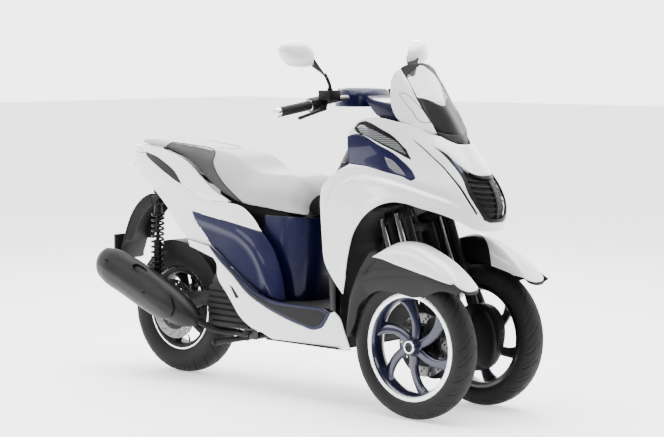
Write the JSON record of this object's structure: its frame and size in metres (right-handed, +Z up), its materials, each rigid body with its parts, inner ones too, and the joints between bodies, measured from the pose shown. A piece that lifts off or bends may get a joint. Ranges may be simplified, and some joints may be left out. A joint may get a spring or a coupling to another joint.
{
  "type": "leaning three-wheeled scooter",
  "caption": "Scooter with two steered, tilting front wheels and one driven rear wheel, body panels, screen, long seat over a storage tub, folding centre stand and side muffler.",
  "frame": {"origin": "on the ground under the middle of the vehicle's length and width", "axes": "+X forward, +Y to the rider's left, +Z up"},
  "size_m": [1.905, 0.7798, 1.2941],
  "materials": {
    "white_paint": "gloss white body paint",
    "blue_paint": "metallic dark blue paint",
    "black_plastic": "grained black plastic",
    "smoked_clear": "smoked clear plastic",
    "lamp_lens": "smoked lamp lens",
    "red_lens": "red lamp lens",
    "frame_paint": "satin black paint",
    "fork_metal": "satin black cast metal",
    "tyre": "black rubber",
    "rim_blue": "blue painted cast wheel",
    "rim_black": "black painted cast wheel",
    "disc_steel": "ground steel",
    "engine_metal": "dark cast aluminium",
    "muffler_metal": "heat-proof black paint",
    "shock_black": "black enamel spring",
    "seat_vinyl": "light grey vinyl",
    "pad_vinyl": "charcoal vinyl",
    "chrome_bar": "dark satin steel",
    "grip_rubber": "ribbed black rubber",
    "mirror_white": "gloss white shell",
    "mirror_glass": "silvered glass"
  },
  "bodies": {
    "body": {"front_cowl": "white_paint", "lamp_lenses": "lamp_lens", "cowl_inserts": "blue_paint", "windscreen": "smoked_clear", "screen_wings": "white_paint", "nose_grille": "black_plastic", "inner_shield": "black_plastic", "dash_panel": "black_plastic", "meter_panel": "blue_paint", "wheel_house": "black_plastic", "frame": "frame_paint", "link_arms": "frame_paint", "tail_cowl": "white_paint", "tail_lamp": "red_lens", "grab_rail": "white_paint", "side_panels": "blue_paint", "seat_pedestal": "black_plastic", "floor_board": "black_plastic", "side_skirts": "white_paint", "floor_edges": "blue_paint", "belly_pan": "black_plastic", "storage_box": "black_plastic", "engine": "engine_metal", "fan_shroud": "black_plastic", "muffler": "muffler_metal", "rear_shocks": "shock_black", "hugger": "black_plastic", "rear_fender": "black_plastic"},
    "handlebar": {"handlebar": "chrome_bar", "grips": "grip_rubber", "steering_stem": "frame_paint", "controls": "black_plastic", "bar_cover": "blue_paint", "mirror_stems": "frame_paint", "mirror_shells": "mirror_white", "mirror_glasses": "mirror_glass"},
    "fork_right": {"fork_leg_right": "fork_metal", "front_fender_right": "white_paint", "fender_liner_right": "black_plastic", "caliper_right": "fork_metal"},
    "fork_left": {"fork_leg_left": "fork_metal", "front_fender_left": "white_paint", "fender_liner_left": "black_plastic", "caliper_left": "fork_metal"},
    "wheel_front_right": {"tyre_front_right": "tyre", "rim_front_right": "rim_blue", "disc_front_right": "disc_steel"},
    "wheel_front_left": {"tyre_front_left": "tyre", "rim_front_left": "rim_blue", "disc_front_left": "disc_steel"},
    "wheel_rear": {"tyre_rear": "tyre", "rim_rear": "rim_black", "disc_rear": "disc_steel"},
    "centre_stand": {"centre_stand": "frame_paint"},
    "seat": {"seat_cushion": "seat_vinyl", "seat_pads": "pad_vinyl", "seat_pan": "black_plastic"}
  },
  "joints": [
    {"name": "steering", "type": "hinge", "parent": "body", "child": "handlebar", "pos_m": [0.7625, 0, 0], "axis": [-0.342, 0, 0.9397], "range_deg": [-28, 28]},
    {"name": "kingpin_right", "type": "hinge", "parent": "body", "child": "fork_right", "pos_m": [0.7625, -0.07, 0], "axis": [-0.342, 0, 0.9397], "range_deg": [-28, 28]},
    {"name": "kingpin_left", "type": "hinge", "parent": "body", "child": "fork_left", "pos_m": [0.7625, 0.07, 0], "axis": [-0.342, 0, 0.9397], "range_deg": [-28, 28]},
    {"name": "front_right_spin", "type": "hinge", "parent": "fork_right", "child": "wheel_front_right", "pos_m": [0.6945, -0.186, 0.25], "axis": [0, 1, 0], "continuous": true},
    {"name": "front_left_spin", "type": "hinge", "parent": "fork_left", "child": "wheel_front_left", "pos_m": [0.6945, 0.186, 0.25], "axis": [0, 1, 0], "continuous": true},
    {"name": "rear_spin", "type": "hinge", "parent": "body", "child": "wheel_rear", "pos_m": [-0.6155, 0, 0.2515], "axis": [0, 1, 0], "continuous": true},
    {"name": "stand_pivot", "type": "hinge", "parent": "body", "child": "centre_stand", "pos_m": [-0.1755, 0, 0.188], "axis": [0, -1, 0], "range_deg": [0, 80], "stiffness_Nm_per_rad": 8, "springref_deg": -34.38},
    {"name": "seat_hinge", "type": "hinge", "parent": "body", "child": "seat", "pos_m": [0.1445, 0, 0.645], "axis": [0, 1, 0], "range_deg": [0, 55]}
  ],
  "couplings": [
    {"joint": "kingpin_right", "follows": "steering", "ratio": 1},
    {"joint": "kingpin_left", "follows": "steering", "ratio": 1}
  ]
}
